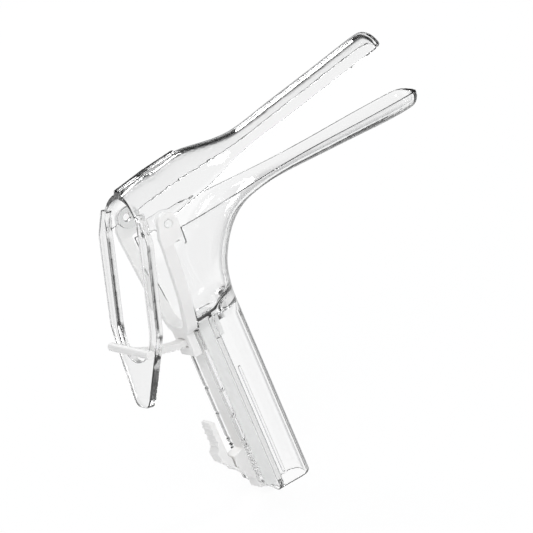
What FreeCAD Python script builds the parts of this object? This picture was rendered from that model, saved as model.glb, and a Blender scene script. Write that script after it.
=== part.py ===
"""Bivalve speculum: two clear blades, a white sliding yoke, a ratchet strap and a release tab.

Frame: millimetres, +Z up along the handle, +X towards the blade tips, +Y across.
The origin is the centre of the handle's flat end. The blades are drawn a little open.
"""
import FreeCAD, Part
import math
import os
import re

import Sketcher
from FreeCAD import Placement, Rotation, Vector

doc = FreeCAD.newDocument("speculum")

# Driving sizes, in millimetres and degrees.
SIZES = {
    # clear mouldings
    "wall": 1.7,
    "fit_gap": 0.3,
    # handle: section, length and what is inside it
    "handle_depth": 22.0,
    "handle_half": 8.0,
    "handle_round": 6.0,
    "handle_height": 68.8,
    "root_sunk": 0.6,
    "shoulder_flare": 0.6,
    "shoulder_rise": 0.7,
    "channel_depth": 5.4,
    "lip_thick": 1.3,
    "lip_reach": 1.8,
    "socket_rise": 2.7,
    "root_drop": 6.9,
    "end_rise": 6.0,
    "end_run": 5.1,
    "rail_from": 5.0,
    "rail_height": 44.0,
    "rail_back": 12.0,
    "rail_thick": 0.8,
    "rail_proud": 0.6,
    "rack_from": 8.0,
    "rack_pitch": 1.5,
    "rack_depth": 0.7,
    "detent_from": 22.4,
    "detent_pitch": 10.6,
    "detent_height": 1.2,
    "detent_depth": 0.6,
    "pocket_low": 51.1,
    "pocket_rise": 9.2,
    "pocket_reach": 9.5,
    # pivot of the two blades
    "pivot_rise": 44.2,
    "pivot_inset": 2.0,
    "pin_radius": 1.6,
    "pin_gap": 0.05,
    "lug_radius": 4.2,
    "lug_proud": 0.25,
    # lower blade
    "rim_drop": 4.4,
    "throat_radius": 28.3,
    "lower_reach": 118.2,
    "lower_nose": 6.0,
    "floor_low_half": 3.2,
    "floor_low_rise": 2.5,
    "floor_middle_half": 6.6,
    "floor_middle_rise": 4.5,
    "floor_step": 4.5,
    "bowl_foot_half": 10.8,
    "bowl_foot_rise": 8.5,
    "bowl_low_half": 14.2,
    "bowl_low_rise": 11.0,
    "bowl_half": 16.4,
    "bowl_rise": 13.0,
    "bowl_high_half": 15.6,
    "bowl_high_rise": 12.0,
    "bowl_front_half": 13.5,
    "bowl_front_rise": 9.5,
    "bowl_neck_half": 11.6,
    "bowl_neck_rise": 5.9,
    "lower_neck_half": 10.0,
    "lower_neck_rise": 4.6,
    "lower_waist_at": 62.0,
    "lower_waist_half": 8.3,
    "lower_waist_rise": 4.9,
    "lower_mid_at": 80.0,
    "lower_mid_half": 8.3,
    "lower_mid_rise": 5.7,
    "lower_half": 8.8,
    "lower_rise": 6.6,
    "notch_front": 5.4,
    "notch_draft": 0.4,
    "notch_flat": 1.0,
    "ledge_run": 1.0,
    "notch_depth": 6.0,
    "ledge_rise": 2.2,
    "rear_edge": 0.7,
    # upper blade
    "blade_opening_angle": 9.0,
    "upper_reach": 113.4,
    "upper_nose": 6.5,
    "hood_half": 16.4,
    "hood_rise": 14.9,
    "hood_tail": 16.0,
    "hood_middle_at": 10.0,
    "hood_fall": 0.4,
    "crown_start_at": 18.0,
    "crown_start_half": 15.7,
    "crown_start_rise": 14.1,
    "crown_end_at": 25.0,
    "crown_end_half": 14.3,
    "crown_end_rise": 13.5,
    "neck_at": 46.0,
    "neck_half": 7.8,
    "neck_rise": 7.2,
    "neck_run": 12.0,
    "neck_slack": 0.4,
    "upper_mid_at": 76.0,
    "upper_half": 8.2,
    "upper_rise": 6.8,
    "ridge_half": 2.8,
    "ridge_proud": 0.9,
    "ridge_slope": 1.5,
    # thumb lever
    "lever_back": 10.4,
    "lever_up": 2.15,
    "lever_lean": 26.5,
    "lever_thick": 2.8,
    "lever_half": 21.3,
    "lever_top": 7.0,
    "lever_shoulder": 2.7,
    "lever_low_half": 20.2,
    "lever_legs": 36.5,
    "lever_waist_half": 16.4,
    "lever_waist": 44.5,
    "lever_length": 65.3,
    "lever_tip_half": 5.5,
    "window_half": 13.3,
    "window_straight": 35.0,
    # yoke
    "ear_thick": 2.5,
    "ear_radius": 4.2,
    "ear_drop": 7.2,
    "ear_front": 3.4,
    "arm_bend": 18.0,
    "bridge_bend": 5.0,
    "arm_front": 1.0,
    "arm_depth": 4.6,
    "arm_low_half": 14.7,
    "arm_low": 29.0,
    "bridge_half": 8.0,
    "bridge_inner_half": 6.0,
    "bridge_top": 41.2,
    "bridge_low": 43.9,
    "block_low": 53.0,
    "block_front": 9.0,
    "block_half": 4.5,
    "ear_gap": 0.55,
    "stem_end": 3.0,
    "foot_half": 3.75,
    "ear_step": 4.0,
    "ear_toe": 0.8,
    "overlap": 0.5,
    "slot_angle": 50.0,
    "foot_top": 93.0,
    "foot_back": 7.0,
    "foot_heel": 99.2,
    "foot_toe": 108.8,
    "foot_draft": 0.6,
    "foot_slope": 1.4,
    # strap
    "strap_radius": 48.05,
    "strap_thick": 2.7,
    "strap_half": 3.0,
    "strap_tail_angle": 5.3,
    "strap_head_angle": 31.2,
    "bar_lead_angle": 0.9,
    "bar_radius": 1.65,
    "bar_half": 17.0,
    "tooth_pitch_angle": 2.5,
    "tooth_depth": 0.8,
    "tooth_width_angle": 1.6,
    "tooth_start_angle": 6.3,
    # release tab
    "tab_top": 78.6,
    "tab_chamfer": 0.5,
    "tab_root_radius": 0.7,
    "tab_front": 8.2,
    "tab_thick": 2.0,
    "tab_heel_back": 12.0,
    "tab_heel": 90.5,
    "rib_from": 1.4,
    "rib_height": 1.3,
    "rib_peak": 0.9,
    "rib_pitch": 2.4,
    "rib_proud": 0.7,
}

ACROSS = Vector(0, 1, 0)
TURN_UP = Vector(0, -1, 0)
FACING_FORWARD = Rotation(Vector(0, 1, 0), Vector(0, 0, 1), Vector(1, 0, 0), "ZXY")
SIDE_ON = Rotation(Vector(1, 0, 0), Vector(0, 0, 1), Vector(0, -1, 0), "ZXY")

size = doc.addObject("Spreadsheet::Sheet", "Size")
for row, (alias, number) in enumerate(SIZES.items(), start=1):
    size.set(f"A{row}", alias)
    size.set(f"B{row}", str(number))
    size.setAlias(f"B{row}", alias)
doc.recompute()


def sized(text):
    """Turns plain size names into references to the sheet."""
    return re.sub("[a-z_]+", lambda word: f"Size.{word[0]}" if word[0] in SIZES else word[0], text)


def value(text):
    return float(size.evalExpression(sized(text)))


def bind(thing, **settings):
    """Ties properties of an object to expressions on the sheet; __ stands for a dot."""
    for name, text in settings.items():
        thing.setExpression(name.replace("__", "."), sized(text))
    return thing


def stand(thing, x="0", y="0", z="0", turn=Rotation()):
    """Places an object at a spot worked out from the sheet."""
    thing.Placement = Placement(Vector(value(x), value(y), value(z)), turn)
    return bind(thing, Placement__Base__x=x, Placement__Base__y=y, Placement__Base__z=z)


def free_sketch(name, x="0", y="0", z="0", turn=Rotation()):
    return stand(doc.addObject("Sketcher::SketchObject", name), x, y, z, turn)


def body_sketch(body, name, role, offset="0"):
    """A sketch on one of the body's own origin planes, moved along its normal."""
    sketch = body.newObject("Sketcher::SketchObject", name)
    plane = next(item for item in body.Origin.OriginFeatures if item.Role == role)
    sketch.AttachmentSupport = (plane, "")
    sketch.MapMode = "FlatFace"
    sketch.AttachmentOffset = Placement(Vector(0, 0, value(offset)), Rotation())
    return bind(sketch, AttachmentOffset__Base__z=offset)


def drive(sketch, kind, where, text):
    """Adds one dimension to a sketch and ties it to the sheet."""
    index = sketch.addConstraint(Sketcher.Constraint(kind, *where, value(text)))
    sketch.setExpression(f"Constraints[{index}]", sized(text))


def pin_point(sketch, edge, end, across, up):
    """Holds one end of an edge at a place measured from the sketch's origin."""
    drive(sketch, "DistanceX", (-1, 1, edge, end), across)
    drive(sketch, "DistanceY", (-1, 1, edge, end), up)


def outline(sketch, corners):
    """A closed outline of straight edges through corners given as pairs of expressions."""
    points = [Vector(value(across), value(up), 0) for across, up in corners]
    for index, point in enumerate(points):
        sketch.addGeometry(Part.LineSegment(point, points[(index + 1) % len(points)]))
    for index, (across, up) in enumerate(corners):
        following = (index + 1) % len(corners)
        sketch.addConstraint(Sketcher.Constraint("Coincident", index, 2, following, 1))
        pin_point(sketch, index, 1, across, up)
    return sketch


def mirrored(half):
    """The corners of the right half, then the same ones on the left."""
    return half + [(f"-( {across} )", up) for across, up in reversed(half)]


def circle(sketch, radius, across="0", up="0"):
    centre = Vector(value(across), value(up), 0)
    edge = sketch.addGeometry(Part.Circle(centre, Vector(0, 0, 1), value(radius)))
    pin_point(sketch, edge, 3, across, up)
    drive(sketch, "Radius", (edge,), radius)
    return sketch


ROUNDING = 0.75


def arch(sketch, half, rise, skirt):
    """A blade's cross-section: straight skirts, then side arcs that run into a flatter crown."""
    side_size = f"( {rise} ) * {ROUNDING}"
    flat = f"( ( ( {half} ) - {side_size} ) ^ 2 + ( {rise} ) ^ 2 - ( {side_size} ) ^ 2 )"
    crown_size = f"{flat} / ( 2 * ( ( {rise} ) - {side_size} ) )"
    wide, high, low, side, crown = (value(text) for text in (half, rise, skirt, side_size, crown_size))
    hinge = Vector(wide - side, 0, 0)
    middle = Vector(0, high - crown, 0)
    touch = middle + (hinge - middle).normalize() * crown
    bulge = hinge + ((touch - hinge).normalize() + Vector(1, 0, 0)).normalize() * side
    right = [Vector(wide, -low, 0), Vector(wide, 0, 0), touch, bulge]
    left = [Vector(-point.x, point.y, 0) for point in right]
    sketch.addGeometry(Part.LineSegment(right[0], right[1]))
    sketch.addGeometry(Part.Arc(right[1], right[3], right[2]))
    sketch.addGeometry(Part.Arc(right[2], Vector(0, high, 0), left[2]))
    sketch.addGeometry(Part.Arc(left[2], left[3], left[1]))
    sketch.addGeometry(Part.LineSegment(left[1], left[0]))
    sketch.addGeometry(Part.LineSegment(left[0], right[0]))
    for edge in range(4):
        sketch.addConstraint(Sketcher.Constraint("Tangent", edge, 2, edge + 1, 1))
    for edge in (4, 5):
        sketch.addConstraint(Sketcher.Constraint("Coincident", edge, 2, (edge + 1) % 6, 1))
    for edge in (0, 4):
        sketch.addConstraint(Sketcher.Constraint("Vertical", edge))
    sketch.addConstraint(Sketcher.Constraint("Horizontal", 5))
    for edge in (1, 3):
        sketch.addConstraint(Sketcher.Constraint("PointOnObject", edge, 3, -1))
    sketch.addConstraint(Sketcher.Constraint("PointOnObject", 2, 3, -2))
    sketch.addConstraint(Sketcher.Constraint("Equal", 1, 3))
    drive(sketch, "DistanceX", (-1, 1, 0, 2), half)
    drive(sketch, "DistanceY", (-1, 1, 0, 1), f"-( {skirt} )")
    drive(sketch, "Radius", (1,), side_size)
    drive(sketch, "Radius", (2,), crown_size)
    return sketch


def loft(name, sections):
    made = doc.addObject("Part::Loft", name)
    made.Sections = sections
    made.Solid = True
    made.Ruled = False
    made.MaxDegree = 3
    return made


def extrude(name, sketch, length, both_ways=False):
    made = doc.addObject("Part::Extrusion", name)
    made.Base = sketch
    made.DirMode = "Normal"
    made.Solid = True
    made.Symmetric = both_ways
    made.LengthFwd = value(length)
    return bind(made, LengthFwd=length)


def block(name, low, high):
    """A box between two opposite corners, each given as three expressions."""
    made = doc.addObject("Part::Box", name)
    lengths = [f"( {top} ) - ( {bottom} )" for bottom, top in zip(low, high)]
    made.Length, made.Width, made.Height = (value(text) for text in lengths)
    bind(made, Length=lengths[0], Width=lengths[1], Height=lengths[2])
    return stand(made, *low)


def fuse(name, *shapes):
    made = doc.addObject("Part::MultiFuse", name)
    made.Shapes = list(shapes)
    made.Refine = False
    return made


def cut(name, base, *tools):
    made = doc.addObject("Part::Cut", name)
    made.Base = base
    made.Tool = fuse(f"{name}_tools", *tools) if len(tools) > 1 else tools[0]
    return made


# Places that several pieces share, on the sheet's names.
PIVOT_X = "pivot_inset - handle_depth / 2"
FRONT = "handle_depth / 2"
BACK = "-handle_depth / 2"
PIVOT_Z = "( handle_height + pivot_rise )"
RIM = f"{PIVOT_Z} - rim_drop"
THROAT_X = f"( {FRONT} + throat_radius )"
THROAT_Z = f"( {RIM} - lower_neck_rise - throat_radius )"
CHANNEL_BACK = f"( {BACK} + lip_thick )"
CHANNEL_FRONT = f"( {BACK} + lip_thick + channel_depth )"
EAR_INSIDE = "( hood_half + ear_gap )"
FAR_OUT = "( 1.6 * lower_reach )"
DEEP_SKIRT = "1.6 * throat_radius"
SHALLOW_SKIRT = "0.18 * throat_radius"
ROOT_TOP = "( handle_height - root_drop )"
SOCKET_TOP = "( handle_height + socket_rise )"
POCKET_TOP = "( handle_height + pocket_rise )"
NOSE_STEPS = (0.45, 0.75, 0.92, 0.99)
NOSE_SQUARENESS = 3


def facing(angle):
    """Turns a section so that its crown looks at the throat's centre from this angle round it."""
    along = Vector(math.cos(math.radians(angle)), 0, math.sin(math.radians(angle)))
    return Rotation(ACROSS, along * -1, Vector(-along.z, 0, along.x), "ZXY")


def bend_section(name, angle, half, rise, skirt, lift="0"):
    """A section of the lower blade on a plane through the throat's centre."""
    reach = f"( throat_radius + ( {lift} ) + ( {rise} ) )"
    place = (f"{THROAT_X} + {reach} * cos( {angle} )", "0", f"{THROAT_Z} + {reach} * sin( {angle} )")
    return arch(free_sketch(name, *place, facing(angle)), half, rise, skirt)


def trough_section(name, at, half, rise, skirt):
    """A section across the lower trough, hung from its rims."""
    return arch(free_sketch(name, f"{PIVOT_X} + {at}", "0", RIM, facing(90)), half, rise, skirt)


def hood_section(name, at, half, rise, skirt):
    """A section across the upper blade, standing on its rims."""
    return arch(free_sketch(name, at, "0", "0", FACING_FORWARD), half, rise, skirt)


def nose_sections(name, make, reach, nose, half, rise, skirt, inset):
    """Sections that close a blade's tip bluntly, as a squared-off ellipse."""
    made = []
    for index, step in enumerate(NOSE_STEPS):
        shrink = round((1 - step ** NOSE_SQUARENESS) ** (1 / NOSE_SQUARENESS), 4)
        at = f"( {reach} ) - ( {nose} ) + ( ( {nose} ) - ( {inset} ) ) * {step}"
        size_of = [f"( ( {part} ) - ( {inset} ) ) * {shrink}" for part in (half, rise)]
        made.append(make(f"{name}_nose_{index}", at, *size_of, skirt))
    return made


def lower_loft(name, inset):
    """The lower blade's outer form, or its inner one when inset by the wall."""
    def less(text):
        return f"{text} - ( {inset} )"

    bends = [
        (165, "bowl_low_half", "bowl_low_rise", DEEP_SKIRT),
        (150, "bowl_half", "bowl_rise", DEEP_SKIRT),
        (135, "bowl_high_half", "bowl_high_rise", "1.4 * throat_radius"),
        (120, "bowl_front_half", "bowl_front_rise", "0.8 * throat_radius"),
        (105, "bowl_neck_half", "bowl_neck_rise", "0.42 * throat_radius"),
        (90, "lower_neck_half", "lower_neck_rise", "0.28 * throat_radius"),
    ]
    runs = [
        ("lower_waist_at", "lower_waist_half", "lower_waist_rise"),
        ("lower_mid_at", "lower_mid_half", "lower_mid_rise"),
        ("lower_reach - lower_nose", "lower_half", "lower_rise"),
    ]
    sections = [
        bend_section(f"{name}_bend_{angle}", angle, less(half), less(rise), skirt, inset)
        for angle, half, rise, skirt in bends
    ]
    sections += [
        trough_section(f"{name}_run_{index}", at, less(half), less(rise), SHALLOW_SKIRT)
        for index, (at, half, rise) in enumerate(runs)
    ]
    sections += nose_sections(
        name, trough_section, "lower_reach", "lower_nose", "lower_half", "lower_rise", SHALLOW_SKIRT, inset
    )
    return sections


def lower_blade():
    """Lower trough blade, the funnel behind it and the hollow handle, in one moulding."""
    front_base = f"{FRONT} - handle_round"
    handle_arch = free_sketch("handle_section", front_base, "0", "handle_height", facing(180))
    arch(handle_arch, "handle_half", "handle_round", "handle_depth - handle_round")
    handle = extrude("handle", handle_arch, "handle_height")
    sunk = free_sketch("root_section", f"{front_base} - root_sunk", "0", ROOT_TOP, facing(180))
    arch(sunk, "handle_half - root_sunk", "handle_round", DEEP_SKIRT)
    shoulder_z = "handle_height + shoulder_rise"
    shoulder = free_sketch("shoulder_section", f"{front_base} - shoulder_flare", "0", shoulder_z, facing(180))
    arch(shoulder, "handle_half + shoulder_flare", "handle_round + shoulder_flare", DEEP_SKIRT)
    foot = bend_section("bowl_foot", 180, "bowl_foot_half", "bowl_foot_rise", DEEP_SKIRT)
    outside = loft("lower_outside", [sunk, shoulder, foot] + lower_loft("lower_outer", "0"))
    back_space = "handle_depth - lip_thick - channel_depth"
    steps = [
        ("low", 187, "floor_low_half", "floor_low_rise", f"{back_space} - wall"),
        ("middle", 184, "floor_middle_half", "floor_middle_rise", f"( {back_space} ) / 2"),
        ("high", 180, "bowl_foot_half - wall", "bowl_foot_rise - wall", "floor_step"),
        ("top", 175, "bowl_foot_half - wall / 3", "bowl_foot_rise - wall / 2", "wall"),
    ]
    floor = [
        bend_section(f"floor_{name}", angle, half, rise, DEEP_SKIRT, lift)
        for name, angle, half, rise, lift in steps
    ]
    inside = loft("lower_inside", floor + lower_loft("lower_inner", "wall"))

    rim_x = f"{PIVOT_X} + notch_front"
    step_z = f"{RIM} - notch_depth"
    edge_x = f"{PIVOT_X} - rear_edge"
    air = outline(free_sketch("open_side", turn=SIDE_ON), [
        (FAR_OUT, RIM),
        (rim_x, RIM),
        (f"{rim_x} - notch_draft", step_z),
        (f"{rim_x} - notch_draft - notch_flat", step_z),
        (f"{rim_x} - notch_draft - notch_flat - ledge_run", f"{step_z} + ledge_rise"),
        (edge_x, f"{step_z} + ledge_rise"),
        (edge_x, "handle_height"),
        (BACK, "handle_height"),
        (BACK, f"{ROOT_TOP} - 2 * wall"),
        (f"-{FAR_OUT}", f"{ROOT_TOP} - 2 * wall"),
        (f"-{FAR_OUT}", f"2 * {FAR_OUT}"),
        (FAR_OUT, f"2 * {FAR_OUT}"),
    ])
    open_side = extrude("open_side_space", air, FAR_OUT, both_ways=True)

    inner_half = "( handle_half - wall )"
    mouth_half = f"( {inner_half} - lip_reach )"
    channel = block("channel", (CHANNEL_BACK, f"-{inner_half}", "-wall"),
                    (CHANNEL_FRONT, inner_half, POCKET_TOP))
    mouth = block("channel_mouth", (f"{BACK} - wall", f"-{mouth_half}", "-wall"),
                  (CHANNEL_FRONT, mouth_half, POCKET_TOP))
    socket_arch = free_sketch("socket_section", f"{FRONT} - handle_round", "0", SOCKET_TOP, facing(180))
    arch(socket_arch, inner_half, "handle_round - wall",
         "handle_depth - handle_round - lip_thick - channel_depth - wall")
    socket = extrude("light_socket", socket_arch, f"{SOCKET_TOP} + wall")
    corner = outline(free_sketch("end_corner", turn=SIDE_ON), [
        (f"{BACK} - end_run", "2 * end_rise"),
        (f"{BACK} + end_run", "0"),
        (f"{BACK} + end_run", "-wall"),
        (f"{BACK} - end_run", "-wall"),
    ])
    slanted_end = extrude("slanted_end_space", corner, "3 * handle_half", both_ways=True)
    tail_half = "( strap_half + 2 * fit_gap )"
    low = f"{PIVOT_Z} - pocket_low"
    pocket = block("strap_pocket", (f"{CHANNEL_FRONT} - wall", f"-{tail_half}", low),
                   (f"{CHANNEL_FRONT} + pocket_reach", tail_half, POCKET_TOP))
    guide_half = "( block_half + fit_gap )"
    guide_room = block("guide_room", (f"{CHANNEL_FRONT} - wall", f"-{guide_half}", low),
                       (f"{PIVOT_X} + block_front + fit_gap", guide_half, POCKET_TOP))
    rack = notches("rack", "rack_from", "rack_pitch", "rack_pitch", "rack_depth", 9)
    detents = notches("detents", "detent_from", "detent_pitch", "detent_height", "detent_depth", 3)
    hollow = cut("lower_hollow", fuse("lower_solid", handle, outside), inside, open_side, channel, mouth,
                 socket, slanted_end, pocket, guide_room, *rack, *detents)
    rails = [
        block(f"rail_{side}", (f"{FRONT} - rail_back", low_y, "rail_from"),
              (f"{FRONT} - rail_back + rail_thick", high_y, "rail_from + rail_height"))
        for side, low_y, high_y in (
            ("near", f"-{inner_half} - wall / 2", f"-{inner_half} + rail_proud"),
            ("far", f"{inner_half} - rail_proud", f"{inner_half} + wall / 2"),
        )
    ]
    return fuse("lower_blade", hollow, *rails)


def notches(name, start, pitch, height, depth, count):
    """Small teeth cut into the back edges of the handle, one above the other."""
    made = []
    for index in range(count):
        foot = f"{start} + {index} * {pitch}"
        sketch = outline(free_sketch(f"{name}_{index}", turn=SIDE_ON), [
            (f"{BACK} - wall", foot),
            (BACK, foot),
            (f"{BACK} + {depth}", f"{foot} + 0.2 * {height}"),
            (BACK, f"{foot} + 0.9 * {height}"),
            (f"{BACK} - wall", f"{foot} + 0.9 * {height}"),
        ])
        made.append(extrude(f"{name}_space_{index}", sketch, "3 * handle_half", both_ways=True))
    return made


def upper_loft(name, inset):
    """The upper blade's outer form, or its inner one when inset by the wall."""
    runs = [
        ("-hood_tail", "hood_half", "hood_rise"),
        ("-hood_tail / 2", "hood_half", "hood_rise"),
        ("0", "hood_half", "hood_rise - hood_fall / 2"),
        ("hood_middle_at", "hood_half", "hood_rise - hood_fall"),
        ("crown_start_at", "crown_start_half", "crown_start_rise"),
        ("crown_end_at", "crown_end_half", "crown_end_rise"),
        ("( crown_end_at + neck_at ) / 2", "( crown_end_half + neck_half ) / 2 - neck_slack",
         "( crown_end_rise + neck_rise ) / 2 - neck_slack"),
        ("neck_at", "neck_half", "neck_rise"),
        ("neck_at + neck_run", "neck_half", "upper_rise"),
        ("upper_mid_at", "upper_half", "upper_rise"),
        ("( upper_mid_at + upper_reach ) / 2", "upper_half", "upper_rise"),
        ("upper_reach - upper_nose", "upper_half", "upper_rise"),
    ]
    sections = [
        hood_section(f"{name}_run_{index}", at, f"{half} - {inset}", f"{rise} - {inset}", SHALLOW_SKIRT)
        for index, (at, half, rise) in enumerate(runs)
    ]
    return sections + nose_sections(
        name, hood_section, "upper_reach", "upper_nose", "upper_half", "upper_rise", SHALLOW_SKIRT, inset
    )


def across_cylinder(name, radius, low, high):
    """A round pin or disc on the pivot axis, between two places across the blade."""
    made = doc.addObject("Part::Cylinder", name)
    made.Radius, made.Height = value(radius), value(f"( {high} ) - ( {low} )")
    bind(made, Radius=radius, Height=f"( {high} ) - ( {low} )")
    return stand(made, "0", low, "0", Rotation(Vector(1, 0, 0), -90))


def round_corners(name, base, radius, wanted):
    """Rounds the straight edges of a plate that stand at the wanted places, as (y, z) pairs."""
    doc.recompute()
    made = doc.addObject("Part::Fillet", name)
    made.Base = base
    chosen = [
        index for index, edge in enumerate(base.Shape.Edges, start=1)
        if all(abs(vertex.Point.y - edge.Vertexes[0].Point.y) < 0.001 for vertex in edge.Vertexes)
        and any(abs(abs(edge.CenterOfMass.y) - y) < 0.01 and abs(edge.CenterOfMass.z - z) < 0.01
                for y, z in wanted)
    ]
    made.Edges = [(index, radius, radius) for index in chosen]
    return made


def upper_blade():
    """Upper blade, arched hood, pivot pins and thumb lever, in one moulding, turned about its pins."""
    crown = outline(free_sketch("crown_ridge", turn=SIDE_ON), [
        ("-hood_tail", "hood_rise - wall / 2"),
        ("hood_middle_at", "hood_rise - hood_fall - wall / 2"),
        ("crown_end_at", "crown_end_rise - wall / 2"),
        ("crown_end_at - ridge_slope", "crown_end_rise + ridge_proud"),
        ("hood_middle_at", "hood_rise - hood_fall + ridge_proud"),
        ("-hood_tail", "hood_rise + ridge_proud"),
    ])
    ridge = extrude("ridge", crown, "2 * ridge_half", both_ways=True)
    outside = fuse("upper_solid", loft("upper_outside", upper_loft("upper_outer", "0")), ridge)
    inside = loft("upper_inside", upper_loft("upper_inner", "wall"))
    below = block("under_rims", (f"-{FAR_OUT}", f"-{FAR_OUT}", f"-{FAR_OUT}"), (FAR_OUT, FAR_OUT, "0"))
    lean_x, lean_z = f"{FAR_OUT} * sin( lever_lean )", f"{FAR_OUT} * cos( lever_lean )"
    behind = extrude("behind_hood", outline(free_sketch("rear_face", turn=SIDE_ON), [
        (f"-lever_back + {lean_x}", f"lever_up + {lean_z}"),
        (f"-lever_back - {lean_x}", f"lever_up - {lean_z}"),
        (f"-{FAR_OUT}", f"lever_up - {lean_z}"),
        (f"-{FAR_OUT}", f"lever_up + {lean_z}"),
    ]), FAR_OUT, both_ways=True)
    hood = cut("hood", outside, inside, below, behind)

    lugs = [
        across_cylinder(f"lug_{side}", "lug_radius", low, high)
        for side, low, high in (
            ("near", "-hood_half - lug_proud", "-hood_half + wall + lug_proud"),
            ("far", "hood_half - wall - lug_proud", "hood_half + lug_proud"),
        )
    ]
    pin_end = f"( {EAR_INSIDE} + ear_thick )"
    pins = [
        across_cylinder(f"pin_{side}", "pin_radius", low, high)
        for side, low, high in (
            ("near", f"-{pin_end}", "-hood_half + wall / 2"),
            ("far", "hood_half - wall / 2", pin_end),
        )
    ]
    plate_sketch = outline(free_sketch("lever_outline", turn=FACING_FORWARD), mirrored([
        ("hood_half", "lever_top"),
        ("lever_half", "-lever_shoulder"),
        ("lever_low_half", "-lever_legs"),
        ("lever_waist_half", "-lever_waist"),
        ("lever_tip_half", "-lever_length"),
    ]))
    plate = extrude("lever_plate", plate_sketch, "lever_thick")
    window = fuse(
        "lever_window",
        block("window_run", ("-wall", "-window_half", "-window_straight"),
              ("lever_thick + wall", "window_half", "3 * lever_top")),
        stand_window_end(),
    )
    corners = [
        (value("lever_half"), -value("lever_shoulder")),
        (value("lever_low_half"), -value("lever_legs")),
        (value("lever_waist_half"), -value("lever_waist")),
        (value("lever_tip_half"), -value("lever_length")),
    ]
    rounded = round_corners("lever_rounded", plate, value("lever_tip_half"), corners)
    lever = cut("thumb_lever", rounded, window)
    lever.Placement = Placement(Vector(0, 0, 0), Rotation(ACROSS, value("lever_lean")))
    bind(lever, Placement__Base__x="-lever_back", Placement__Base__z="lever_up",
         Placement__Rotation__Angle="lever_lean")
    blade = fuse("upper_blade", fuse("hood_and_lever", hood, lever), *lugs, *pins)
    blade.Placement = Placement(Vector(0, 0, 0), Rotation(TURN_UP, value("blade_opening_angle")))
    return bind(blade, Placement__Base__x=PIVOT_X, Placement__Base__z=PIVOT_Z,
                Placement__Rotation__Angle="blade_opening_angle")


def stand_window_end():
    """The round lower end of the lever's window."""
    made = doc.addObject("Part::Cylinder", "window_end")
    made.Radius, made.Height = value("window_half"), value("lever_thick + 2 * wall")
    bind(made, Radius="window_half", Height="lever_thick + 2 * wall")
    return stand(made, "-wall", "0", "-window_straight", Rotation(Vector(0, 1, 0), 90))


def new_body(name):
    """A body whose own frame has its origin on the pivot."""
    return stand(doc.addObject("PartDesign::Body", name), PIVOT_X, "0", PIVOT_Z)


def pad(body, name, sketch, length, both_ways=False):
    made = body.newObject("PartDesign::Pad", name)
    made.Profile = sketch
    made.Length = value(length)
    made.Midplane = both_ways
    return bind(made, Length=length)


def rectangle(sketch, left, right, low, high):
    return outline(sketch, [(left, low), (right, low), (right, high), (left, high)])


def edges_at(shape, radius_of):
    """Names of the edges along X at chosen (y, z) places, for a fillet."""
    return [
        f"Edge{index}" for index, edge in enumerate(shape.Edges, start=1)
        if edge.BoundBox.YLength < 0.001 and edge.BoundBox.ZLength < 0.001
        and any(abs(abs(edge.CenterOfMass.y) - y) < 0.01 and abs(edge.CenterOfMass.z - z) < 0.01
                for y, z in radius_of)
    ]


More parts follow.
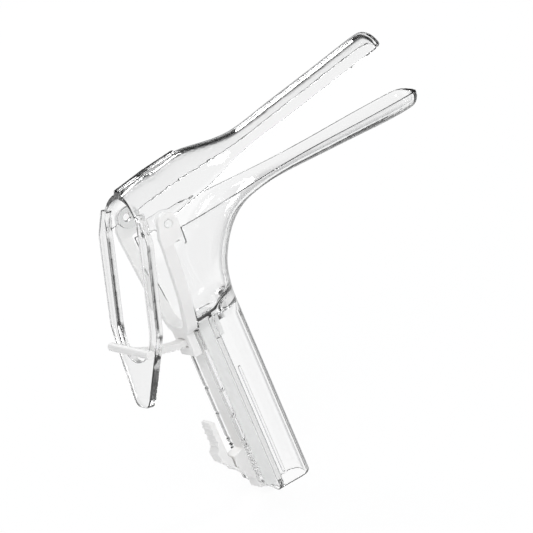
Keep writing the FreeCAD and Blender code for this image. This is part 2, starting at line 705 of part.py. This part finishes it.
def yoke():
    """White yoke: ears on the pins, arms, U-shaped bridge, strap guide, stem in the handle and foot."""
    body = new_body("yoke")
    outer_half = f"( {EAR_INSIDE} + ear_thick )"
    corner = f"( arm_low_half - ear_thick )"
    band = body_sketch(body, "band_outline", "YZ_Plane", "-( arm_front + arm_depth )")
    outline(band, [
        (outer_half, "-ear_step"), (outer_half, "-ear_drop"), ("arm_low_half", "-arm_low"),
        ("bridge_half", "-bridge_low"), ("-bridge_half", "-bridge_low"), ("-arm_low_half", "-arm_low"),
        (f"-{outer_half}", "-ear_drop"), (f"-{outer_half}", "-ear_step"), (f"-{EAR_INSIDE}", "-ear_step"),
        (f"-{EAR_INSIDE}", "-ear_drop"), (f"-{corner}", "-arm_low + arm_front"),
        ("-bridge_inner_half", "-bridge_top"), ("bridge_inner_half", "-bridge_top"),
        (corner, "-arm_low + arm_front"), (EAR_INSIDE, "-ear_drop"), (EAR_INSIDE, "-ear_step"),
    ])
    pad(body, "band", band, "arm_depth")
    doc.recompute()
    pivot_z = value(PIVOT_Z)
    for name, radius, places in (
        ("arm_bends", "arm_bend", [("arm_low_half", "-arm_low"), (corner, "-arm_low + arm_front")]),
        ("bridge_bends", "bridge_bend", [("bridge_inner_half", "-bridge_top"), ("bridge_half", "-bridge_low")]),
    ):
        base = body.Tip
        spots = [(value(y), value(z) + pivot_z) for y, z in places]
        fillet = body.newObject("PartDesign::Fillet", name)
        fillet.Base = (base, edges_at(body.Shape, spots))
        fillet.Radius = value(radius)
        bind(fillet, Radius=radius)
        doc.recompute()

    for side, offset in (("near", EAR_INSIDE), ("far", f"-{outer_half}")):
        disc = circle(body_sketch(body, f"ear_{side}_round", "XZ_Plane", offset), "ear_radius")
        pad(body, f"ear_{side}_disc", disc, "ear_thick")
        neck = body_sketch(body, f"ear_{side}_outline", "XZ_Plane", offset)
        outline(neck, [
            ("-ear_radius", "0"), ("-( arm_front + arm_depth )", "-ear_step"),
            ("-( arm_front + arm_depth )", "-ear_drop - overlap"), ("-arm_front", "-ear_drop - overlap"),
            ("ear_front", "-ear_drop + ear_toe"), ("ear_radius", "0"),
        ])
        pad(body, f"ear_{side}_neck", neck, "ear_thick")

    stem_half = "( handle_half - wall - fit_gap )"
    stem_back = f"( {CHANNEL_BACK} - ( {PIVOT_X} ) + fit_gap )"
    stem_front = f"( {CHANNEL_FRONT} - ( {PIVOT_X} ) - fit_gap )"
    tongue_half = "( handle_half - wall - lip_reach - fit_gap )"
    stem_low = f"stem_end - {PIVOT_Z}"
    handle_back = f"( {BACK} - ( {PIVOT_X} ) )"
    prisms = [
        ("stem", stem_low, f"{PIVOT_Z} - stem_end - bridge_top", stem_back, stem_front, stem_half),
        ("tongue", stem_low, f"{PIVOT_Z} - stem_end - bridge_low + overlap", f"{handle_back} + fit_gap",
         f"{stem_back} + overlap", tongue_half),
        ("guide_back", "-block_low", "block_low - bridge_low + overlap", "-( arm_front + arm_depth )",
         f"{handle_back} - fit_gap", "bridge_inner_half"),
        ("guide_neck", "-block_low", "block_low - bridge_low + overlap", f"{handle_back} - fit_gap - overlap",
         f"{stem_back} + overlap", tongue_half),
        ("guide_front", "-pocket_low + fit_gap", "pocket_low - fit_gap - bridge_top", f"{stem_front} - overlap",
         "block_front", "block_half"),
    ]
    for name, low, height, left, right, half in prisms:
        sketch = body_sketch(body, f"{name}_outline", "XY_Plane", low)
        pad(body, name, rectangle(sketch, left, right, f"-{half}", half), height)

    foot = outline(body_sketch(body, "foot_outline", "XZ_Plane"), [
        (f"{stem_back} + overlap", "-foot_top"), ("-foot_back + foot_draft", "-foot_top - foot_slope"),
        ("-foot_back", "-foot_heel"), (f"{stem_back} + overlap", "-foot_toe"),
    ])
    pad(body, "foot", foot, "2 * foot_half", both_ways=True)

    holes = circle(body_sketch(body, "pin_holes", "XZ_Plane"), "pin_radius + pin_gap")
    bore = body.newObject("PartDesign::Pocket", "pin_bore")
    bore.Profile = holes
    bore.Type = "ThroughAll"
    bore.Midplane = True
    slot = body_sketch(body, "strap_slot", "YZ_Plane")
    half_thick = "( strap_thick / 2 + fit_gap )"
    slot_half = "( strap_half + fit_gap )"
    rectangle(slot, f"-{slot_half}", slot_half, f"-strap_radius - {half_thick}", f"-strap_radius + {half_thick}")
    groove = body.newObject("PartDesign::Groove", "strap_guide")
    groove.Profile = slot
    groove.ReferenceAxis = (slot, ["H_Axis"])
    groove.Angle = value("slot_angle")
    groove.Midplane = True
    bind(groove, Angle="slot_angle")
    root = body_sketch(body, "tab_root_room", "XZ_Plane")
    circle(root, "tab_root_radius + pin_gap", "-foot_back", "-foot_heel")
    recess = body.newObject("PartDesign::Pocket", "tab_root_recess")
    recess.Profile = root
    recess.Type = "ThroughAll"
    recess.Midplane = True
    return body


def ratchet_strap():
    """White toothed strap, curved about the pivot, with the cross bar that hooks the thumb lever."""
    body = new_body("ratchet_strap")
    half_thick = "strap_thick / 2"
    ends = (("strap_back", "strap_head_angle", False), ("strap_front", "strap_tail_angle", True))
    for name, reach, flipped in ends:
        sketch = body_sketch(body, f"{name}_section", "YZ_Plane")
        low, high = f"-strap_radius - {half_thick}", f"-strap_radius + {half_thick}"
        rectangle(sketch, "-strap_half", "strap_half", low, high)
        sweep = body.newObject("PartDesign::Revolution", name)
        sweep.Profile = sketch
        sweep.ReferenceAxis = (sketch, ["H_Axis"])
        sweep.Angle = value(reach)
        sweep.Reversed = flipped
        bind(sweep, Angle=reach)
    bar_angle = "( strap_head_angle + bar_lead_angle )"
    bar = body_sketch(body, "bar_section", "XZ_Plane")
    circle(bar, "bar_radius", f"-strap_radius * sin( {bar_angle} )", f"-strap_radius * cos( {bar_angle} )")
    pad(body, "cross_bar", bar, "2 * bar_half", both_ways=True)
    tooth = body_sketch(body, "tooth_space", "XZ_Plane")
    outer = f"( strap_radius + {half_thick} )"
    corners = (
        ("0", "fit_gap"), ("0", "-tooth_depth"), ("tooth_width_angle", "0"), ("tooth_width_angle", "fit_gap"),
    )
    outline(tooth, [
        (f"-( {outer} + {depth} ) * sin( tooth_start_angle + {angle} )",
         f"-( {outer} + {depth} ) * cos( tooth_start_angle + {angle} )")
        for angle, depth in corners
    ])
    notch = body.newObject("PartDesign::Pocket", "tooth_notch")
    notch.Profile = tooth
    notch.Length = value("3 * strap_half")
    notch.Midplane = True
    bind(notch, Length="3 * strap_half")
    doc.recompute()
    teeth = body.newObject("PartDesign::PolarPattern", "ratchet_teeth")
    teeth.Originals = [notch]
    axis = next(item for item in body.Origin.OriginFeatures if item.Role == "Y_Axis")
    teeth.Axis = (axis, [""])
    teeth.Occurrences = 8
    teeth.Angle = value("7 * tooth_pitch_angle")
    bind(teeth, Angle="7 * tooth_pitch_angle")
    body.Tip = teeth
    return body


def release_tab():
    """White ribbed finger tab, which flexes about its thin root on the foot."""
    body = new_body("release_tab")
    face = "( foot_back + fit_gap )"
    back = "( tab_front + tab_thick )"
    side = outline(body_sketch(body, "tab_outline", "XZ_Plane"), [
        (f"-{face}", "-foot_heel"), (f"-{face}", "-foot_top - foot_slope"), ("-tab_front", "-foot_top"),
        ("-tab_front", "-tab_top - tab_chamfer"), ("-tab_front - tab_chamfer", "-tab_top"),
        (f"-{back} + tab_chamfer", "-tab_top"), (f"-{back}", "-tab_top - tab_chamfer"),
        (f"-{back}", f"-tab_heel + {back} - tab_heel_back + 2 * tab_thick"), ("-tab_heel_back", "-tab_heel"),
        ("-tab_heel_back + tab_chamfer", "-tab_heel - foot_half"),
    ])
    pad(body, "tab", side, "2 * foot_half", both_ways=True)
    root = body_sketch(body, "root_section", "XZ_Plane")
    circle(root, "tab_root_radius", "-foot_back", "-foot_heel")
    pad(body, "tab_root", root, "2 * foot_half", both_ways=True)
    top = "( tab_top + rib_from )"
    rib = outline(body_sketch(body, "rib_outline", "XZ_Plane"), [
        (f"-{back} + fit_gap", f"-{top}"), (f"-{back} - rib_proud", f"-{top} - rib_peak"),
        (f"-{back} + fit_gap", f"-{top} - rib_height"),
    ])
    first = pad(body, "rib", rib, "2 * foot_half", both_ways=True)
    doc.recompute()
    ribs = body.newObject("PartDesign::LinearPattern", "ribs")
    ribs.Originals = [first]
    axis = next(item for item in body.Origin.OriginFeatures if item.Role == "Z_Axis")
    ribs.Direction = (axis, [""])
    ribs.Reversed = True
    ribs.Length = value("3 * rib_pitch")
    ribs.Occurrences = 4
    bind(ribs, Length="3 * rib_pitch")
    body.Tip = ribs
    return body


PIECES = [lower_blade(), upper_blade(), yoke(), ratchet_strap(), release_tab()]
doc.recompute()
failed = [item.Name for item in doc.Objects if {"Invalid", "Error"} & set(item.State)]
failed += [item.Name for item in PIECES if item.Shape.isNull() or not item.Shape.isValid()]
if failed:
    raise SystemExit(f"these objects did not build: {failed}")

os.makedirs("parts", exist_ok=True)
for piece in PIECES:
    piece.Shape.exportStep(f"parts/{piece.Label}.step")
    box = piece.Shape.BoundBox
    print(piece.Label, len(piece.Shape.Solids), "solid", round(piece.Shape.Volume), "mm3",
          [round(edge, 1) for edge in (box.XMin, box.YMin, box.ZMin, box.XMax, box.YMax, box.ZMax)])
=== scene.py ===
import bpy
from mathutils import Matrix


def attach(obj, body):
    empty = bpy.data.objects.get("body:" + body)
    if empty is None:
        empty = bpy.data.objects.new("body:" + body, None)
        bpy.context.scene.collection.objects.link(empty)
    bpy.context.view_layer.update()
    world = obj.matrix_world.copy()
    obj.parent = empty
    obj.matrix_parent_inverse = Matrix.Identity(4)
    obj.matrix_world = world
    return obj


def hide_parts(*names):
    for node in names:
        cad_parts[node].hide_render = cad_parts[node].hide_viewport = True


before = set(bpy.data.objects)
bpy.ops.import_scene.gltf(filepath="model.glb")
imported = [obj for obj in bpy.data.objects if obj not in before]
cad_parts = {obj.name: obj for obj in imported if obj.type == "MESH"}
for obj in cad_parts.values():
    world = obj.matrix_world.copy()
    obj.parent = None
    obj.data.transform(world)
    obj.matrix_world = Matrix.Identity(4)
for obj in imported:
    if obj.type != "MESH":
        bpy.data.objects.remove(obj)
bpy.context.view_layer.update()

# %%
import math

import bpy
from mathutils import Matrix, Vector

MM = 0.001

# %% [markdown]
# ## The camera
# The instrument is seen from its near side, a little from behind the pins, with the blades rising to the
# upper right. A long lens far away keeps the two blades' edges almost parallel, as they are in the picture.
# The camera could be aimed with a constraint, but three plain axes say exactly how it is rolled.
# %% Camera
LENS_MM = 300.0
SENSOR_MM = 36.0
VIEW_WIDTH = 191.9 * MM
DISTANCE = VIEW_WIDTH * LENS_MM / SENSOR_MM
FARTHEST_M = 100.0
AIM = Vector((12.64, -36.29, 86.02)) * MM
RIGHT = Vector((0.8106, -0.4483, -0.3765)).normalized()
BACK = Vector((-0.3685, -0.8903, 0.2667)).normalized()

camera_data = bpy.data.cameras.new("camera")
camera_data.lens = LENS_MM
camera_data.sensor_width = SENSOR_MM
camera_data.clip_end = FARTHEST_M
camera = bpy.data.objects.new("camera", camera_data)
upward = BACK.cross(RIGHT).normalized()
sideways = upward.cross(BACK)
turned = Matrix((sideways, upward, BACK)).transposed().to_4x4()
camera.matrix_world = Matrix.Translation(AIM + BACK * DISTANCE) @ turned
bpy.context.scene.collection.objects.link(camera)
bpy.context.scene.camera = camera
print("camera distance, m:", round(DISTANCE, 3))

# %% [markdown]
# ## Writing shader maths as sums
# A surface's roughness or bump is easier to read as `0.03 + wave * 0.02` than as a chain of boxes. One class
# wraps a socket and adds a Math node for each operator, and one method makes every other kind of node.
# %% Sockets that can be added and multiplied
class Signal:
    """A socket that can stand in a sum or a product."""

    def __init__(self, finish, socket):
        self.finish = finish
        self.socket = socket

    def maths(self, operation, first, second):
        return self.finish.node("ShaderNodeMath", {"operation": operation}, {0: first, 1: second})

    def __add__(self, other):
        return self.maths("ADD", self, other)

    def __radd__(self, other):
        return self.maths("ADD", other, self)

    def __mul__(self, other):
        return self.maths("MULTIPLY", self, other)


class Finish:
    """A material or a world under construction."""

    def __init__(self, owner):
        owner.use_nodes = True
        self.owner = owner
        self.tree = owner.node_tree
        self.tree.nodes.clear()

    def node(self, kind, settings=None, inputs=None, output=0):
        """A node of any kind, given as its output socket; "stops" sets the greys of a colour ramp."""
        made = self.tree.nodes.new(kind)
        for name, what in (settings or {}).items():
            if name == "stops":
                for stop, (place, shade) in zip(made.color_ramp.elements, what):
                    stop.position, stop.color = place, (shade, shade, shade, 1)
            else:
                setattr(made, name, what)
        for name, what in (inputs or {}).items():
            if isinstance(what, Signal):
                self.tree.links.new(what.socket, made.inputs[name])
            else:
                made.inputs[name].default_value = what
        return Signal(self, made.outputs[output]) if made.outputs else None

    def wave(self, scale, detail=2.0):
        """Soft noise from 0 to 1 that is fixed to the moulding."""
        place = self.node("ShaderNodeTexCoord", output="Object")
        return self.node(
            "ShaderNodeTexNoise", {}, {"Vector": place, "Scale": scale, "Detail": detail, "Roughness": 0.5}
        )

    def tint(self, amount, low, high):
        """A colour between two others."""
        return self.node(
            "ShaderNodeMix",
            {"data_type": "RGBA"},
            {"Factor": amount, "A": (*low, 1), "B": (*high, 1)},
            output="Result",
        )


# %% [markdown]
# ## Clear plastic
# The blades and the handle are one grade of clear, polished plastic. Thin walls let nearly all light through,
# and the volume absorbs a little. Dark edges are painted shade: the skin turns from clear glass, where it
# faces the eye, to a grey and rougher glass where it slants away, in place of the dark surroundings that
# edges refract.
# Lamps and soft light reach what is behind it through a nearly clear shader, since real clear plastic throws
# only a pale shadow.
# %% Clear plastic
FACE_LOW, FACE_HIGH, FACE_ROUGHNESS = (0.985, 0.987, 0.988), (1.0, 1.0, 1.0), 0.02
# Painted shade: a dark grey glass for the clear plastic's slanting edges, and the slant over which it sets
# in.
PAINTED_EDGE_SHADE_LOW, PAINTED_EDGE_SHADE_HIGH, EDGE_ROUGHNESS = (0.16, 0.165, 0.17), (0.22, 0.225, 0.23), 0.16
SLANT_FROM, SLANT_TO = 0.56, 0.86
HAZE_ROUGHNESS = 0.03
FLOW_SCALE = 55.0
HAZE_SCALE = 420.0


def clear_plastic(name):
    finish = Finish(bpy.data.materials.new(name))
    flow = finish.wave(FLOW_SCALE)
    haze = finish.wave(HAZE_SCALE, 3.0)
    bump = finish.node("ShaderNodeBump", {}, {"Strength": 0.05, "Distance": 0.0004, "Height": flow})

    def glass(low, high, roughness):
        return finish.node(
            "ShaderNodeBsdfPrincipled",
            {},
            {
                "Base Color": finish.tint(haze, low, high),
                "Roughness": roughness + haze * HAZE_ROUGHNESS,
                "IOR": 1.5,
                "Transmission Weight": 1.0,
                "Normal": bump,
            },
        )

    face_on = glass(FACE_LOW, FACE_HIGH, FACE_ROUGHNESS)
    # Painted shade: a grey glass that darkens the skin where it slants away from the eye.
    painted_edge_shade = glass(PAINTED_EDGE_SHADE_LOW, PAINTED_EDGE_SHADE_HIGH, EDGE_ROUGHNESS)
    facing = finish.node("ShaderNodeLayerWeight", {}, {"Blend": 0.5}, output="Facing")
    stops = [(SLANT_FROM, 0.0), (SLANT_TO, 1.0)]
    edge_shade_share = finish.node("ShaderNodeValToRGB", {"stops": stops}, {0: facing})
    skin = finish.node("ShaderNodeMixShader", {}, {0: edge_shade_share, 1: face_on, 2: painted_edge_shade})
    pale = finish.node("ShaderNodeBsdfTransparent", {}, {"Color": (0.96, 0.965, 0.965, 1)})
    lamp_ray = finish.node("ShaderNodeLightPath", output="Is Shadow Ray")
    soft_ray = finish.node("ShaderNodeLightPath", output="Is Diffuse Ray")
    body = finish.node("ShaderNodeMixShader", {}, {0: lamp_ray + soft_ray, 1: skin, 2: pale})
    depth = finish.node(
        "ShaderNodeVolumeAbsorption", {}, {"Color": (0.80, 0.80, 0.80, 1), "Density": 70.0}
    )
    finish.node("ShaderNodeOutputMaterial", {}, {"Surface": body, "Volume": depth})
    return finish.owner


CLEAR = clear_plastic("clear_plastic")

# %% [markdown]
# ## Milky plastic
# The yoke, the strap and the tab are moulded in a softer, milky plastic. It is white with a satin skin, and
# light goes a little way in, so thin parts glow slightly. A fine grain breaks the gloss up.
# %% Milky plastic
MILK_LOW, MILK_HIGH, MILK_ROUGHNESS = (0.76, 0.75, 0.737), (0.83, 0.82, 0.807), 0.36
CLOUD_ROUGHNESS = 0.12
GRAIN_ROUGHNESS = 0.05
CLOUD_SCALE = 90.0
GRAIN_SCALE = 2600.0


def milky_plastic(name):
    finish = Finish(bpy.data.materials.new(name))
    cloud = finish.wave(CLOUD_SCALE)
    grain = finish.wave(GRAIN_SCALE, 3.0)
    bump = finish.node("ShaderNodeBump", {}, {"Strength": 0.12, "Distance": 0.00012, "Height": grain})
    skin = finish.node(
        "ShaderNodeBsdfPrincipled",
        {},
        {
            "Base Color": finish.tint(cloud, MILK_LOW, MILK_HIGH),
            "Roughness": MILK_ROUGHNESS + cloud * CLOUD_ROUGHNESS + grain * GRAIN_ROUGHNESS,
            "IOR": 1.49,
            "Subsurface Weight": 0.25,
            "Subsurface Radius": (1.0, 1.0, 1.0),
            "Subsurface Scale": 0.0012,
            "Normal": bump,
        },
    )
    finish.node("ShaderNodeOutputMaterial", {}, {"Surface": skin})
    return finish.owner


MILKY = milky_plastic("milky_plastic")

# %% [markdown]
# ## Mouldings with soft edges
# No moulded edge is a knife edge. Each solid is copied, remeshed evenly and relaxed, so its rims, windows and
# corners get the small radius that a mould leaves, and one even skin carries the gloss without facets.
# %% Soft-edged copies of the solids
RELAX_SHARE = 0.5


def moulding(node, voxel_mm, relaxing, material, body, lean_deg=0.0):
    """A piece with the node's shape, in one even skin whose edges are slightly rounded.

    The skin's grid lies along the piece's own length, which leans by lean_deg, so long edges stay clean. The
    mesh is laid level for the grid and leaned back after it, so the piece's box stays the solid's box.
    """
    piece = bpy.data.objects.new(f"{node}_moulding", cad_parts[node].data.copy())
    lean = Matrix.Rotation(math.radians(-lean_deg), 4, "Y")
    piece.data.transform(lean.inverted())
    piece.matrix_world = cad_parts[node].matrix_world
    bpy.context.scene.collection.objects.link(piece)
    remesh = piece.modifiers.new("even_skin", "REMESH")
    remesh.mode = "VOXEL"
    remesh.voxel_size = voxel_mm * MM
    relax = piece.modifiers.new("relax", "SMOOTH")
    relax.factor = RELAX_SHARE
    relax.iterations = relaxing
    shaped = bpy.data.meshes.new_from_object(piece.evaluated_get(bpy.context.evaluated_depsgraph_get()))
    piece.modifiers.clear()
    piece.data = shaped
    shaped.transform(lean)
    shaped.materials.clear()
    shaped.materials.append(material)
    shaped.polygons.foreach_set("use_smooth", [True] * len(shaped.polygons))
    shaped.update()
    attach(piece, body)
    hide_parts(node)
    print(piece.name, len(shaped.polygons), "faces")


FINE_MM = 0.2
COARSE_MM = 0.25
UPPER_LEAN_DEG = 9.0

moulding("lower_blade", FINE_MM, 20, CLEAR, "handle_body")
moulding("upper_blade", FINE_MM, 32, CLEAR, "upper_body", lean_deg=UPPER_LEAN_DEG)
moulding("yoke", COARSE_MM, 4, MILKY, "yoke_body")
moulding("ratchet_strap", FINE_MM, 3, MILKY, "upper_body")
moulding("release_tab", FINE_MM, 3, MILKY, "tab_body")

# %% [markdown]
# ## Floor, world and lamps
# The picture's background is plain white. The floor and the world look white to the camera and through the
# plastic, while the lamps stay at a plain level. High above, the world is darker for what the plastic bends
# and mirrors, as a studio's dark ceiling is, and that draws the clear pieces' edges.
# %% Floor
FLOOR_HALF = 8.0
FLOOR_DROP = 0.0002
GLOW_SHARE = 0.9


def floor_finish():
    finish = Finish(bpy.data.materials.new("floor"))
    matte = finish.node("ShaderNodeBsdfDiffuse", {}, {"Color": (0.93, 0.93, 0.93, 1)})
    white = finish.node("ShaderNodeEmission", {}, {"Color": (1, 1, 1, 1), "Strength": 1.0})
    seen = (
        finish.node("ShaderNodeLightPath", output="Is Camera Ray")
        + finish.node("ShaderNodeLightPath", output="Is Glossy Ray")
        + finish.node("ShaderNodeLightPath", output="Is Transmission Ray")
    )
    mix = finish.node("ShaderNodeMixShader", {}, {0: seen * GLOW_SHARE, 1: matte, 2: white})
    finish.node("ShaderNodeOutputMaterial", {}, {"Surface": mix})
    return finish.owner


corners = [(x * FLOOR_HALF, y * FLOOR_HALF, -FLOOR_DROP) for x, y in ((-1, -1), (1, -1), (1, 1), (-1, 1))]
floor_mesh = bpy.data.meshes.new("floor")
floor_mesh.from_pydata(corners, [], [(0, 1, 2, 3)])
floor_mesh.materials.append(floor_finish())
floor = bpy.data.objects.new("floor", floor_mesh)
bpy.context.scene.collection.objects.link(floor)

# %% World and lamps
HORIZON, HORIZON_SHADE = 0.0, 1.0
CEILING, CEILING_SHADE = 0.14, 0.03

world = Finish(bpy.data.worlds.new("studio"))
bpy.context.scene.world = world.owner
direction = world.node("ShaderNodeTexCoord", output="Generated")
height = world.node("ShaderNodeSeparateXYZ", {}, {0: direction}, output="Z")
darkening = [(HORIZON, HORIZON_SHADE), (CEILING, CEILING_SHADE)]
overhead = world.node("ShaderNodeValToRGB", {"stops": darkening}, {0: height})
mirrored = (
    world.node("ShaderNodeLightPath", output="Is Glossy Ray")
    + world.node("ShaderNodeLightPath", output="Is Transmission Ray")
)
seen = world.node("ShaderNodeLightPath", output="Is Camera Ray")
ambient = world.node("ShaderNodeBackground", {}, {"Color": (0.9, 0.92, 0.95, 1), "Strength": 0.55})
plain = world.node("ShaderNodeBackground", {}, {"Color": (1, 1, 1, 1), "Strength": 1.0})
dim = world.node("ShaderNodeBackground", {}, {"Color": overhead, "Strength": 1.0})
lit = world.node("ShaderNodeMixShader", {}, {0: mirrored, 1: ambient, 2: dim})
whole = world.node("ShaderNodeMixShader", {}, {0: seen, 1: lit, 2: plain})
world.node("ShaderNodeOutputWorld", {}, {"Surface": whole})

MIDDLE = Vector((0.02, 0, 0.08))


def lamp(name, place, width, height_m, power):
    """A soft rectangular lamp aimed at the instrument's middle."""
    data = bpy.data.lights.new(name, "AREA")
    data.shape = "RECTANGLE"
    data.size, data.size_y = width, height_m
    data.energy = power
    made = bpy.data.objects.new(name, data)
    spot = Vector(place)
    aimed = (MIDDLE - spot).to_track_quat("-Z", "Y").to_matrix().to_4x4()
    made.matrix_world = Matrix.Translation(spot) @ aimed
    bpy.context.scene.collection.objects.link(made)


lamp("key", (-0.5, -0.9, 1.1), 0.6, 0.6, 9.0)
lamp("fill", (1.2, -0.5, 0.5), 0.3, 0.9, 5.0)
lamp("rim", (0.1, 1.1, 0.9), 0.8, 0.3, 7.0)

# %% Render colours and light paths
GLASS_BOUNCES = 24
CLEAR_BOUNCES = 32

scene = bpy.context.scene
scene.view_settings.view_transform = "Standard"
scene.cycles.max_bounces = GLASS_BOUNCES
scene.cycles.transmission_bounces = GLASS_BOUNCES
scene.cycles.transparent_max_bounces = CLEAR_BOUNCES
scene.cycles.caustics_reflective = False
scene.cycles.caustics_refractive = False
